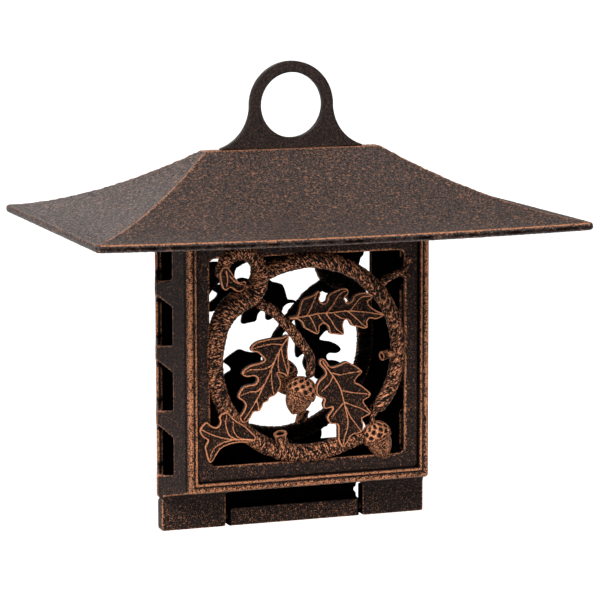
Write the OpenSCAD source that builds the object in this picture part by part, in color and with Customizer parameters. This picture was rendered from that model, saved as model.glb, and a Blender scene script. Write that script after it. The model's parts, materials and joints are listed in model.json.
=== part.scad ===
// Hanging suet feeder: a hipped roof with a hanger ring, above a box made of two flared
// openwork castings that meet at an upright seam and are hinged together at the bottom.
// Origin at the centre of the hanger ring's hole. +Z up, the front panel faces -Y.

/* [Hanger] */
// Radius of the hanger ring's hole
ring_hole_r = 16.5; // [14:0.5:17]
// Width of the metal round the hole
ring_band = 5.75; // [5:0.25:6.5]
// Thickness of the hanger plate
plate_t = 4; // [3:0.5:5]
// Width of the plate's flared foot
foot_w = 76; // [70:1:80]

/* [Roof] */
// Width across the eaves
roof_w = 255; // [240:1:270]
// Depth across the eaves
roof_d = 180; // [170:1:190]
// Height from the eaves to the flat top
roof_rise = 34; // [32:1:36]
// Width of the flat top
top_w = 94; // [84:1:100]
// Depth of the flat top
top_d = 8; // [7:0.5:10]
// How strongly the slopes are hollowed, 1 being straight
roof_curve = 1.6; // [1.4:0.1:1.9]
// Height of the eave's edge
lip_h = 4; // [3.5:0.5:5]
// Upright thickness of the roof's skin
skin_t = 3.2; // [2.8:0.1:3.6]

/* [Box] */
// Width of a panel
panel_w = 128; // [124:1:130]
// Height of a panel
panel_h = 130; // [129:1:131]
// Depth of the closed box
box_d = 58; // [56:1:60]
// How far the top and bottom walls flare out from the panel to the seam
flare = 7; // [6:0.5:8]
// How far the side walls flare out from the panel to the seam
side_flare = 9; // [8:0.5:10]
// Thickness of the walls
wall_t = 3.5; // [3:0.1:4]
// Width of the panel's raised rim
rim_w = 4.5; // [4:0.5:6]
// Side of the square opening in a panel
opening_w = 104; // [102:1:106]
// How far the panel's border lies behind its rim
recess = 3; // [2:0.5:3.5]
// Thickness of the panel's border
border_t = 3; // [2.5:0.5:3.5]
// Height from one side opening to the next
notch_pitch = 33.2; // [32.8:0.1:33.6]

/* [Hinge] */
// Thickness of the hinge blocks and knuckle, front to back
hinge_t = 8; // [7.5:0.5:9]
// Height from the foot of the hinge to the box's lower seam
hinge_h = 17; // [17:0.5:19]
// Width across the two outer blocks
hinge_w = 143; // [142:0.5:145]
// Gap between the two outer blocks
block_gap = 76; // [74:1:80]
// Length of the centre knuckle
knuckle_l = 71; // [64:1:72]
// Radius of the hinge pin
pin_r = 1.6; // [1.4:0.1:1.8]

/* [Hidden] */
$fn = 64;
eps = 0.01;
big = 400;
running = 0.05;

// Hanger
ring_r = ring_hole_r + ring_band;
tang_w = 50;
tang_h = 15;
cross_pin_r = 1.5;
cross_pin_l = 14;
cross_pin_x = 16;

// Heights
top_z = -ring_r + 0.25;
eave_z = top_z - roof_rise;
panel_top_z = eave_z - 5;
panel_bottom_z = panel_top_z - panel_h;
panel_mid_z = panel_top_z - panel_h / 2;
seam_top_z = panel_top_z + flare;
seam_bottom_z = panel_bottom_z - flare;
hinge_foot_z = seam_bottom_z - hinge_h;

// Roof
slope_steps = 10;
top_pad_t = 8;
top_pad_w = 60;
top_pad_d = 14;
lip_w = 3;
corner_r = 1.5;

// Box
half_d = box_d / 2;
flare_slope = flare / half_d;
side_slope = side_flare / half_d;
back_y = half_d - recess - border_t;
seam_gap = 0.15;
notch_deep = 14;
notch_floor_h = 19.4;
notch_rise = 4.4;
notch_fall = 2.3;
notch_up = 1.5;

// Roof screws: M4 pan head, from inside the rear half
screw_x = 30;
screw_y = 14;
screw_r = 2;
screw_head_r = 4;
screw_head_h = 2.6;
screw_l = 22;
boss_r = 6;
boss_z = seam_top_z + 4;
pad_floor_z = seam_top_z - 8.5;
washer_t = 0.9;

// Latch: a turn-button whose stem runs in a post on the rear half
stem_r = 2;
stem_z = seam_top_z + 5.5;
post_w = 16;
post_t = 5;
post_h = 10;
prong_gap = 5.4;
prong_t = 3.8;
button_w = 4;
button_t = 2.6;
button_up = 15;
button_down = 3;
keeper_foot_h = 1.7;
stud_r = 1.2;
stud_x = 5;
stud_l = 5.4;

// Hinge
knuckle_h = 9.5;
pin_z = hinge_foot_z + knuckle_h / 2;
block_w = (hinge_w - block_gap) / 2;
pin_depth_left = 22;

// Wreath
vine_r = 49;
vine_tube_r = 4;
wreath_y = -half_d + vine_tube_r;
leaf_t = 2.5;

// ---------- shared shapes ----------

// Turns a shape drawn in the XY plane upright, so that it stands in the XZ plane
module upright(y = 0) {
  translate([0, y, 0])
    rotate([90, 0, 0])
      children();
}

module y_rod(r, y0, y1) {
  translate([0, y0, 0])
    rotate([-90, 0, 0])
      cylinder(r = r, h = y1 - y0);
}

module x_rod(r, x0, x1) {
  translate([x0, 0, 0])
    rotate([0, 90, 0])
      cylinder(r = r, h = x1 - x0);
}

module rounded_rect(w, d, r) {
  square([w - 2 * r, d], center = true);
  square([w, d - 2 * r], center = true);
  for (sx = [-1, 1], sy = [-1, 1])
    translate([sx * (w / 2 - r), sy * (d / 2 - r)])
      circle(r = r);
}

// ---------- roof ----------

// Height of the roof's surface, from 0 at the flat top to 1 at the eave
function slope_z(t) = top_z - roof_rise * (1 - pow(1 - t, roof_curve));

// Cross-section of the roof: a flat top of half-width a falling to the eave at half-width b
function roof_section(a, b, floor_z) = concat(
  [[-b, floor_z]],
  [for (i = [slope_steps:-1:0]) [-(a + (b - a) * i / slope_steps), slope_z(i / slope_steps)]],
  [for (i = [0:slope_steps]) [a + (b - a) * i / slope_steps, slope_z(i / slope_steps)]],
  [[b, floor_z]]
);

// Everything below the roof's surface, down to the floor height
module roof_form(floor_z) {
  intersection() {
    upright(roof_d)
      linear_extrude(2 * roof_d)
        polygon(roof_section(top_w / 2, roof_w / 2, floor_z));
    rotate([0, 0, 90])
      upright(roof_w)
        linear_extrude(2 * roof_w)
          polygon(roof_section(top_d / 2, roof_d / 2, floor_z));
  }
}

module roof() {
  lip_z = eave_z - lip_h;
  color([0.20, 0.15, 0.13])
  difference() {
    union() {
      difference() {
        intersection() {
          roof_form(lip_z);
          translate([0, 0, lip_z - eps])
            linear_extrude(big)
              rounded_rect(roof_w, roof_d, corner_r);
        }
        intersection() {
          translate([0, 0, -skin_t])
            roof_form(lip_z - lip_h);
          cube([roof_w - 2 * lip_w, roof_d - 2 * lip_w, big], center = true);
        }
      }
      // thick pad under the flat top, and two screw bosses, all cut off at the slopes
      intersection() {
        roof_form(lip_z);
        union() {
          translate([-top_pad_w / 2, -top_pad_d / 2, top_z - top_pad_t])
            cube([top_pad_w, top_pad_d, top_pad_t]);
          for (s = [-1, 1])
            translate([s * screw_x, screw_y, boss_z])
              cylinder(r = boss_r, h = -boss_z);
        }
      }
    }
    // slot for the hanger's tang
    translate([-tang_w / 2 - 0.1, -plate_t / 2 - 0.1, top_z - 2 * top_pad_t])
      cube([tang_w + 0.2, plate_t + 0.2, 3 * top_pad_t]);
    for (s = [-1, 1])
      translate([s * screw_x, screw_y, boss_z - 1])
        cylinder(r = screw_r, h = screw_l - 8);
  }
}

// ---------- hanger ----------

// Flat plate: ring, concave flares down to the foot, and a tang that goes through the roof
module hanger_ring() {
  flare_r = -top_z;
  color([0.17, 0.13, 0.12])
  difference() {
    upright(plate_t / 2)
      linear_extrude(plate_t)
        difference() {
          union() {
            circle(r = ring_r);
            translate([-foot_w / 2, top_z])
              square([foot_w, -top_z]);
            translate([-tang_w / 2, top_z - tang_h])
              square([tang_w, tang_h + 1]);
          }
          for (s = [-1, 1])
            translate([s * (ring_r + flare_r), 0])
              circle(r = flare_r);
        }
    y_rod(ring_hole_r, -plate_t, plate_t);
    for (s = [-1, 1])
      translate([s * cross_pin_x, 0, cross_pin_z()])
        y_rod(cross_pin_r, -plate_t, plate_t);
  }
}

function cross_pin_z() = top_z - top_pad_t - cross_pin_r - running;

module hanger_pins() {
  color([0.35, 0.33, 0.31])
  for (s = [-1, 1])
    translate([s * cross_pin_x, 0, cross_pin_z()])
      y_rod(cross_pin_r, -cross_pin_l / 2, cross_pin_l / 2);
}

// ---------- wreath ----------

// Part of a bough: an arc of round section in the panel's plane
module bough(centre, radius, from_angle, to_angle, r) {
  translate([centre[0], wreath_y, centre[1]])
    rotate([90, 0, 0])
      rotate([0, 0, from_angle])
        rotate_extrude(angle = to_angle - from_angle)
          translate([radius, 0])
            circle(r = r, $fn = 32);
}

// Straight twig that leaves the point at the given angle
module twig(at, angle, length, r) {
  translate([at[0], wreath_y, at[1]])
    rotate([0, -angle, 0])
      x_rod(r, 0, length);
}

// Half-width of a lobed oak leaf at t, from 0 at its stem to 1 at its tip
function leaf_half(t, w, lobes) =
  w * pow(sin(180 * pow(t, 0.8)), 0.6) * (0.78 - 0.22 * cos(360 * (lobes + 0.4) * t));

function leaf_outline(length, w, lobes, steps = 18) = concat(
  [for (i = [0:steps]) [length * i / steps, leaf_half(i / steps, w, lobes)]],
  [for (i = [steps - 1:-1:1]) [length * i / steps, -leaf_half(i / steps, w, lobes)]]
);

module leaf(at, angle, length, w, lobes = 3) {
  translate([at[0], 0, at[1]])
    rotate([0, -angle, 0])
      upright(wreath_y + leaf_t / 2 - 1)
        linear_extrude(leaf_t)
          polygon(leaf_outline(length, w, lobes));
}

// Acorn: a cup and a pointed nut, the nut's tip at the given angle from the cup
module acorn(at, angle, cup_r, length) {
  translate([at[0], wreath_y, at[1]])
    rotate([0, -angle, 0])
      rotate([0, 90, 0])
        rotate_extrude()
          polygon([[0, -0.25 * length], [0.6 * cup_r, -0.2 * length], [cup_r, 0.1 * length],
                   [cup_r, 0.2 * length], [0.8 * cup_r, 0.22 * length],
                   [0.55 * cup_r, 0.55 * length], [0, 0.75 * length]]);
}

module boughs_and_leaves() {
  translate([0, 0, panel_mid_z]) {
    bough([0, 0], vine_r, 0, 360, vine_tube_r);
    // top left curl, and the stalk that hangs from it to the upper acorn
    bough([-35.4, 42], 8.8, 0, 360, 4);
    bough([-57.9, -31.9], 68, 28, 72, 2.4);
    twig([2.1, 0], 253, 12, 2.4);
    leaf([-13, 21.2], 0, 59, 12);
    leaf([-9, 15], 241, 54, 11.5);
    leaf([6, -2], 288, 48, 15);
    leaf([-31, -37], 190, 24, 11, 1);
    acorn([-4, -14], 253, 6.2, 18);
    acorn([36, -40], 293, 6.2, 19);
    twig([37, 35], 40, 20, 2.2);
    twig([46, -1.4], 180, 9, 2.8);
    twig([-18, -45], 75, 10, 2.8);
  }
}

// The wreath is cast flat at its back, level with the back of the panel's border
module wreath() {
  difference() {
    boughs_and_leaves();
    translate([-big / 2, -back_y, panel_mid_z - big / 2])
      cube([big, big, big]);
  }
}

// ---------- the two halves of the box ----------

// Solid with the front half's flared outline, its walls moved inwards by the given inset
module flared_block(inset, front_y, seam_y) {
  w0 = panel_w / 2 - inset + side_slope * (front_y + half_d);
  w1 = panel_w / 2 - inset + side_slope * (seam_y + half_d);
  h0 = flare_slope * (front_y + half_d) - inset;
  h1 = flare_slope * (seam_y + half_d) - inset;
  intersection() {
    translate([0, 0, panel_bottom_z - big / 4])
      linear_extrude(big)
        polygon([[-w0, front_y], [w0, front_y], [w1, seam_y], [-w1, seam_y]]);
    rotate([90, 0, 90])
      translate([0, 0, -big / 2])
        linear_extrude(big)
          polygon([[front_y, panel_top_z + h0], [front_y, panel_bottom_z - h0],
                   [seam_y, panel_bottom_z - h1], [seam_y, panel_top_z + h1]]);
  }
}

// Outline of half a side opening, widest at the seam
module notch_outline() {
  seam_up = notch_floor_h / 2 + notch_rise;
  seam_down = -notch_floor_h / 2 - notch_fall;
  polygon([[-notch_deep, -notch_floor_h / 2], [-notch_deep, notch_floor_h / 2],
           [0, seam_up], [10, seam_up], [10, seam_down], [0, seam_down]]);
}

// Pan casting with its panel towards -Y, as both halves share it
module pan() {
  opening_h = opening_w + 1;
  difference() {
    union() {
      difference() {
        flared_block(0, -half_d, -seam_gap);
        flared_block(wall_t, -back_y, eps);
        // recessed border inside the raised rim
        translate([0, -half_d, panel_mid_z])
          cube([panel_w - 2 * rim_w, 2 * recess, panel_h - 2 * rim_w], center = true);
        translate([-opening_w / 2, -big / 2, panel_mid_z - opening_h / 2])
          cube([opening_w, big / 2, opening_h]);
      }
      wreath();
    }
    for (i = [-1.5:1:1.5])
      translate([-big / 2, 0, panel_mid_z + notch_up + i * notch_pitch])
        rotate([90, 0, 90])
          linear_extrude(big)
            notch_outline();
  }
}

// Outer hinge block: full depth in front, rounded about the pin behind so that it clears
// the rear half's lower edge as it turns
module hinge_block() {
  turn_r = pin_to_seam() - 0.5;
  difference() {
    union() {
      translate([0, -hinge_t / 2, hinge_foot_z])
        cube([block_w, hinge_t / 2 - seam_gap, hinge_h + 1]);
      intersection() {
        translate([0, -1, hinge_foot_z])
          cube([block_w, hinge_t / 2 + 1, hinge_h]);
        translate([0, 0, pin_z])
          x_rod(turn_r, 0, block_w);
      }
    }
    // the block's top follows the flared floor of the pan
    translate([-1, 0, seam_bottom_z])
      rotate([-atan(flare_slope), 0, 0])
        translate([0, -big / 2 - seam_gap, 2])
          cube([block_w + 2, big / 2, 10]);
  }
}

function pin_to_seam() = seam_bottom_z - pin_z;

module front_half() {
  color([0.16, 0.12, 0.11])
  difference() {
    union() {
      pan();
      for (x = [-hinge_w / 2, block_gap / 2])
        translate([x, 0, 0])
          hinge_block();
    }
    translate([0, 0, pin_z])
      x_rod(pin_r, -hinge_w / 2 + block_w - pin_depth_left, hinge_w);
    keeper_studs(seam_top_z + 1, big / 4);
  }
}

module rear_half() {
  post_base = 3;
  fillet_r = 1.5;
  web_z = hinge_foot_z + knuckle_h - 1;
  color([0.15, 0.115, 0.105])
  difference() {
    union() {
      rotate([0, 0, 180])
        pan();
      // centre knuckle, and the web with rounded-out ends that carries it
      translate([-knuckle_l / 2, -hinge_t / 2, hinge_foot_z])
        cube([knuckle_l, hinge_t, knuckle_h]);
      difference() {
        translate([-knuckle_l / 2, seam_gap, web_z])
          cube([knuckle_l, hinge_t / 2 - seam_gap, seam_bottom_z - web_z + 1]);
        for (s = [-1, 1])
          translate([s * knuckle_l / 2, 0, (web_z + 1 + seam_bottom_z) / 2])
            y_rod(fillet_r, -hinge_t, hinge_t);
      }
      // screw pads inside the top wall
      for (s = [-1, 1])
        translate([s * screw_x, screw_y, pad_floor_z])
          cylinder(r = boss_r, h = boss_z - pad_floor_z);
      // post that carries the turn-button
      translate([-post_w / 2, seam_gap, seam_top_z - post_base])
        cube([post_w, post_t, post_h + post_base]);
    }
    for (s = [-1, 1])
      translate([s * screw_x, screw_y, pad_floor_z - 1])
        cylinder(r = screw_r + 0.2, h = big / 4);
    translate([0, 0, stem_z])
      y_rod(stem_r, -1, post_t + 1);
    translate([0, 0, pin_z])
      x_rod(pin_r + running, -hinge_w / 2, hinge_w / 2);
  }
}

module hinge_pin() {
  color([0.45, 0.44, 0.42])
  translate([0, 0, pin_z])
    x_rod(pin_r, -hinge_w / 2 + block_w - pin_depth_left, hinge_w / 2 - 1);
}

// ---------- fasteners ----------

module roof_screws() {
  head_z = pad_floor_z - washer_t;
  color([0.45, 0.44, 0.42])
  for (s = [-1, 1])
    translate([s * screw_x, screw_y, head_z])
      difference() {
        union() {
          cylinder(r = screw_r, h = screw_l);
          translate([0, 0, -screw_head_h])
            cylinder(r = screw_head_r, h = screw_head_h);
        }
        // cross recess
        for (a = [0, 90])
          rotate([0, 0, a])
            translate([-2.2, -0.5, -screw_head_h - eps])
              cube([4.4, 1, 1.4]);
      }
}

module flat_ring(inner_r, outer_r, t) {
  difference() {
    cylinder(r = outer_r, h = t);
    translate([0, 0, -1])
      cylinder(r = inner_r, h = t + 2);
  }
}

module roof_washers() {
  color([0.5, 0.49, 0.47])
  for (s = [-1, 1])
    translate([s * screw_x, screw_y, pad_floor_z - washer_t])
      flat_ring(screw_r + 0.2, screw_head_r, washer_t);
}

// ---------- latch ----------

module keeper_studs(from_z, length) {
  for (s = [-1, 1])
    translate([s * stud_x, -seam_gap - prong_t / 2, from_z - length])
      cylinder(r = stud_r, h = length);
}

// Forked keeper: its foot follows the front half's sloping top wall, where two studs are
// pressed in, and the turn-button holds its prongs
module latch_keeper() {
  color([0.17, 0.13, 0.12]) {
    difference() {
      union() {
        translate([-post_w / 2, -seam_gap - prong_t, seam_top_z - 2])
          cube([post_w, prong_t, keeper_foot_h + 2]);
        for (x = [-post_w / 2, prong_gap / 2])
          translate([x, -seam_gap - prong_t, seam_top_z - 2])
            cube([(post_w - prong_gap) / 2, prong_t, post_h + 2]);
      }
      flared_block(0, -half_d, eps);
    }
    keeper_studs(seam_top_z + keeper_foot_h - 0.5, stud_l + keeper_foot_h - 0.5);
  }
}

// Turn-button on its stem. Upright it slips between the keeper's prongs; turned across, it
// holds them.
module latch_button() {
  head_y = -seam_gap - prong_t - 0.4 - button_t;
  stem_l = post_t + seam_gap + 2.6 - head_y;
  color([0.3, 0.24, 0.2])
  translate([0, 0, stem_z]) {
    translate([0, head_y, 0])
      y_rod(stem_r - running, 0, stem_l);
    upright(head_y + button_t)
      linear_extrude(button_t) {
        translate([-button_w / 2, -button_down + button_w / 2])
          square([button_w, button_up + button_down - button_w]);
        for (z = [button_up - button_w / 2, -button_down + button_w / 2])
          translate([0, z])
            circle(r = button_w / 2);
      }
  }
}

module latch_washer() {
  color([0.5, 0.49, 0.47])
  translate([0, seam_gap + post_t, stem_z])
    rotate([-90, 0, 0])
      flat_ring(stem_r + 0.2, 4.2, 0.6);
}

module latch_push_nut() {
  color([0.5, 0.49, 0.47])
  translate([0, seam_gap + post_t + 0.6, stem_z])
    rotate([-90, 0, 0]) {
      flat_ring(stem_r - running, 4.2, 0.5);
      translate([0, 0, 0.5])
        flat_ring(stem_r - running, 3, 1);
    }
}

roof();
hanger_ring();
hanger_pins();
rear_half();
front_half();
hinge_pin();
roof_screws();
roof_washers();
latch_keeper();
latch_button();
latch_washer();
latch_push_nut();
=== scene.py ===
import json
import math

import bmesh
import bpy
import numpy as np
from mathutils import Matrix, Vector

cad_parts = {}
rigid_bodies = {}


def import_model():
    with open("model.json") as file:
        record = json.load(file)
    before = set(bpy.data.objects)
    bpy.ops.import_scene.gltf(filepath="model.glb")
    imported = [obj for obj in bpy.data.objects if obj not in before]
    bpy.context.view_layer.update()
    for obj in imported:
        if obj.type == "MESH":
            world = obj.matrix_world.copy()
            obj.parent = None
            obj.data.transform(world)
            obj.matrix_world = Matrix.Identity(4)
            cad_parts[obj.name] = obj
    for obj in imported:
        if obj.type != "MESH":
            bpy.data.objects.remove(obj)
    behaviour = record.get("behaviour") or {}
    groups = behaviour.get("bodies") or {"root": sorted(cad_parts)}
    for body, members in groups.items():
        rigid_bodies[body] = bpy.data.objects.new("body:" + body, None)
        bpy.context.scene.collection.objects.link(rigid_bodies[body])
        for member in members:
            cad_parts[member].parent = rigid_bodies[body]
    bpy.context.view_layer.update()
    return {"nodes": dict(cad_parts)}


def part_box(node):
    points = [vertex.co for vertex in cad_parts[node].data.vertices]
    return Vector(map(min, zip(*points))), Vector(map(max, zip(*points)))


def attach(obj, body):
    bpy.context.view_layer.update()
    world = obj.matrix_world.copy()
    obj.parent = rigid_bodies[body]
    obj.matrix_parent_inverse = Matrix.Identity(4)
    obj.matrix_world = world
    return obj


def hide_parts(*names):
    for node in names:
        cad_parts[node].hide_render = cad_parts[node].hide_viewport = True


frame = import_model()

# Everything is worked out in millimetres, in the frame of the CAD model, and written to
# Blender in metres. Origin at the centre of the hanger's hole, +Z up, front towards -Y.
MM = 0.001


def cad_box(node):
    lo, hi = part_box(node)
    return np.array(lo) / MM, np.array(hi) / MM


# ---------- sizes taken from the CAD model ----------
roof_lo, roof_hi = cad_box("roof")
ring_lo, ring_hi = cad_box("hanger_ring")
front_lo, front_hi = cad_box("front_half")
ROOF_W = roof_hi[0] - roof_lo[0]
ROOF_D = roof_hi[1] - roof_lo[1]
TOP_Z = roof_hi[2]
LIP_Z = roof_lo[2]
RING_R = ring_hi[2]
HINGE_FOOT_Z = front_lo[2]
SEAM_W = front_hi[0] - front_lo[0]
HALF_D = 29.0

# ---------- sizes that a box can't give ----------
LIP_H = 4.0
EAVE_Z = LIP_Z + LIP_H
TOP_W, TOP_D = 94.0, 8.0
ROOF_CURVE = 1.6
SKIN_T = 3.2
CORNER_R = 1.5
HOLE_R = 16.5
FOOT_W = 76.0
PLATE_T = ring_hi[1] - ring_lo[1]
PANEL_W, PANEL_H = 128.0, 130.0
PANEL_TOP_Z = EAVE_Z - 5.0
MID_Z = PANEL_TOP_Z - PANEL_H / 2
FLARE = 7.0
SIDE_FLARE = (SEAM_W - PANEL_W) / 2
NOTCH_PITCH, NOTCH_UP, NOTCH_DEEP = 33.2, 1.5, 14.0
NOTCH_HALF, NOTCH_RISE, NOTCH_FALL = 9.7, 4.4, 2.3
HINGE_W, KNUCKLE_L = 143.0, 71.0
WALL_T = 3.5
RIM_W = 4.5
RECESS = 3.0
BORDER_T = 3.0
OPEN_W, OPEN_H = 104.0, 105.0
SEAM_GAP = 0.15
WREATH_Y, WREATH_BACK_Y = -25.0, -22.8
SCREW_X, SCREW_Y, SCREW_SEAT_Z = 30.0, 14.0, -50.0
KNUCKLE_H = 9.5
BOX_FOOT_Z = HINGE_FOOT_Z + 19.0


# ---------- noise ----------
def scatter(i, j, k, seed):
    """An even 0..1 number for each lattice point."""
    h = (i * 73856093) ^ (j * 19349663) ^ (k * 83492791) ^ (seed * 374761393)
    h = h & 0xFFFFFFFF
    h = (((h >> 16) ^ h) * 0x45D9F3B) & 0xFFFFFFFF
    h = (((h >> 16) ^ h) * 0x45D9F3B) & 0xFFFFFFFF
    return ((h >> 16) ^ h) / 4294967296.0


def noise(points, size, seed=0):
    """Smooth noise from -1 to 1 with lumps of the given size."""
    p = points / size
    cell = np.floor(p).astype(np.int64)
    f = p - cell
    f = f * f * (3 - 2 * f)
    total = np.zeros(len(p))
    for corner in range(8):
        step = np.array([(corner >> axis) & 1 for axis in range(3)])
        weight = np.where(step, f, 1 - f).prod(1)
        total += weight * scatter(*(cell + step).T, seed)
    return 2 * total - 1


def noise_over(seed, *axes):
    """Noise with lumps of one unit over three coordinates that broadcast together."""
    cells = np.stack(np.broadcast_arrays(*axes), -1)
    return noise(cells.reshape(-1, 3), 1.0, seed).reshape(cells.shape[:-1])


def pebbles(xy, size, seed):
    """Distances from flat points to the nearest and second nearest of scattered centres."""
    p = xy / size
    cell = np.floor(p).astype(np.int64)
    near = np.full(len(p), 9.0)
    second = near.copy()
    zero = np.zeros(len(p), np.int64)
    for dx in (-1, 0, 1):
        for dy in (-1, 0, 1):
            cx, cy = cell[:, 0] + dx, cell[:, 1] + dy
            gap = np.hypot(
                p[:, 0] - cx - scatter(cx, cy, zero, seed),
                p[:, 1] - cy - scatter(cx, cy, zero, seed + 1),
            )
            second = np.minimum(second, np.maximum(near, gap))
            near = np.minimum(near, gap)
    return near, second


def ramp(value, low, high):
    """Smooth step from 0 at low to 1 at high."""
    t = np.clip((value - low) / (high - low), 0, 1)
    return t * t * (3 - 2 * t)


def bell(value, width, centre=0.0):
    """1 at the centre, falling to 0 over the width."""
    return np.exp(-(((value - centre) / width) ** 2))


# ---------- meshes ----------
def placed(name, data):
    """New object in the scene."""
    obj = bpy.data.objects.new(name, data)
    bpy.context.scene.collection.objects.link(obj)
    return obj


def outward_mesh(name, points, faces, split=False):
    """Mesh whose faces all look outwards, with faces of over four corners split if asked."""
    mesh = bpy.data.meshes.new(name)
    mesh.from_pydata(points.tolist(), [], faces)
    edit = bmesh.new()
    edit.from_mesh(mesh)
    bmesh.ops.recalc_face_normals(edit, faces=edit.faces)
    if split:
        bmesh.ops.triangulate(edit, faces=[f for f in edit.faces if len(f.verts) > 4])
    edit.to_mesh(mesh)
    edit.free()
    return mesh


class Shape:
    """Gathers the parts of one piece: points, faces, and how rubbed each point is, with painted shade
    where that falls below zero.
    """

    def __init__(self):
        self.points, self.faces, self.rub, self.weave, self.count = [], [], [], [], 0

    def add(self, points, faces, rub, weave=None):
        """Weave is where the finish's grain is taken from: the point itself, or bark lines."""
        points = np.asarray(points, float)
        rub = np.broadcast_to(np.asarray(rub, float), (len(points),))
        self.points.append(points)
        self.rub.append(rub)
        self.weave.append(points if weave is None else weave)
        if isinstance(faces, np.ndarray):
            self.faces.extend((faces + self.count).tolist())
        else:
            self.faces.extend([[i + self.count for i in face] for face in faces])
        self.count += len(points)

    def add_rings(self, points, rings, rub, weave=None):
        """A skin of rings, one after the other, with both its ends closed."""
        around = len(points) // rings
        self.add(points, grid(rings, around, wrap_cols=True), rub, weave)
        first, last = self.count - len(points), self.count - around
        self.faces.append(list(range(first, first + around)))
        self.faces.append(list(range(last, self.count))[::-1])

    def build(self, name, material, body, turned=False, replaces=()):
        points = np.concatenate(self.points)
        if turned:
            points = points * np.array([-1.0, -1.0, 1.0])
        mesh = outward_mesh(name, points * MM, self.faces)
        rub = mesh.attributes.new("rub", "FLOAT", "POINT")
        rub.data.foreach_set("value", np.concatenate(self.rub).astype(np.float32))
        weave = mesh.attributes.new("weave", "FLOAT_VECTOR", "POINT")
        lines = np.concatenate(self.weave) * MM
        weave.data.foreach_set("vector", lines.reshape(-1).astype(np.float32))
        mesh.shade_smooth()
        obj = placed(name, mesh)
        mesh.materials.append(material)
        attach(obj, body)
        if replaces:
            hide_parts(*replaces)
        return obj


def grid(rows, cols, wrap_rows=False, wrap_cols=False):
    """Quads over a rows x cols grid of points."""
    i = np.arange(rows if wrap_rows else rows - 1)
    j = np.arange(cols if wrap_cols else cols - 1)
    i, j = np.meshgrid(i, j, indexing="ij")
    ni, nj = (i + 1) % rows, (j + 1) % cols
    corners = [i * cols + j, ni * cols + j, ni * cols + nj, i * cols + nj]
    return np.stack(corners, -1).reshape(-1, 4)


def loft(first, last):
    """Closed prism between two outlines of the same number of points."""
    n = len(first)
    faces = [list(range(n))[::-1], list(range(n, 2 * n))]
    faces += [[i, (i + 1) % n, n + (i + 1) % n, n + i] for i in range(n)]
    return np.array(list(first) + list(last), float), faces


def block(x0, x1, y0, y1, z0, z1):
    corners = [(x0, y0), (x1, y0), (x1, y1), (x0, y1)]
    return loft([(x, y, z0) for x, y in corners], [(x, y, z1) for x, y in corners])


def turns(n):
    """Angles evenly round a full turn."""
    return np.linspace(0, 2 * math.pi, n, endpoint=False)


def arc(x, y, r, angles):
    """Points on a circle at the angles."""
    return [(x + r * math.cos(a), y + r * math.sin(a)) for a in angles]


def disc(x, y, r, n=40):
    return arc(x, y, r, turns(n))


def slab(outline, y0, y1):
    """Prism between two depths of an outline seen from the front."""
    return loft(*([(x, y, z) for x, z in outline] for y in (y0, y1)))


def sides(quads):
    """The four edges of every quad."""
    return np.concatenate([quads[:, [k, (k + 1) % 4]] for k in range(4)])


def neighbours(quads):
    """Each undirected edge of the quads once."""
    return np.unique(np.sort(sides(quads), 1), axis=0)


def relaxed(values, edges, rounds, amount=0.5):
    """Values moved towards the mean of their neighbours."""
    n = len(values)
    a, b = edges[:, 0], edges[:, 1]
    degree = np.bincount(a, minlength=n) + np.bincount(b, minlength=n)
    for _ in range(rounds):
        mean = np.empty_like(values)
        for axis in range(values.shape[1]):
            column = values[:, axis]
            mean[:, axis] = np.bincount(a, column[b], n) + np.bincount(b, column[a], n)
        values = values + amount * (mean / degree[:, None] - values)
    return values


def point_normals(points, faces):
    a, b, c, d = (points[faces[:, corner]] for corner in range(4))
    across = np.cross(c - a, d - b)
    total = np.zeros_like(points)
    for axis in range(3):
        for corner in range(4):
            total[:, axis] += np.bincount(faces[:, corner], across[:, axis], len(points))
    return total / np.maximum(np.linalg.norm(total, axis=1), 1e-9)[:, None]


def sharpness(points, faces, rounds):
    """How far each point stands out from its smoothed surroundings, in millimetres."""
    edges = neighbours(faces)
    normals = point_normals(points, faces)
    return ((points - relaxed(points, edges, rounds)) * normals).sum(1)


def fused(parts, voxel, smooth):
    """One skin round overlapping closed parts, with its corners softened."""
    whole = Shape()
    for points, faces in parts:
        whole.add(points, faces, 0.0)
    mesh = outward_mesh("parts", np.concatenate(whole.points), whole.faces, split=True)
    obj = placed("parts", mesh)
    modifier = obj.modifiers.new("fuse", "REMESH")
    modifier.mode = "VOXEL"
    modifier.voxel_size = voxel
    modifier.adaptivity = 0
    graph = bpy.context.evaluated_depsgraph_get()
    skin = bpy.data.meshes.new_from_object(obj.evaluated_get(graph))
    co = np.empty(len(skin.vertices) * 3)
    skin.vertices.foreach_get("co", co)
    loops = np.empty(len(skin.loops), np.int32)
    skin.loops.foreach_get("vertex_index", loops)
    co, loops = co.reshape(-1, 3), loops.reshape(-1, 4)
    bpy.data.batch_remove((obj, mesh, skin))
    return relaxed(co, neighbours(loops), smooth), loops


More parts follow.
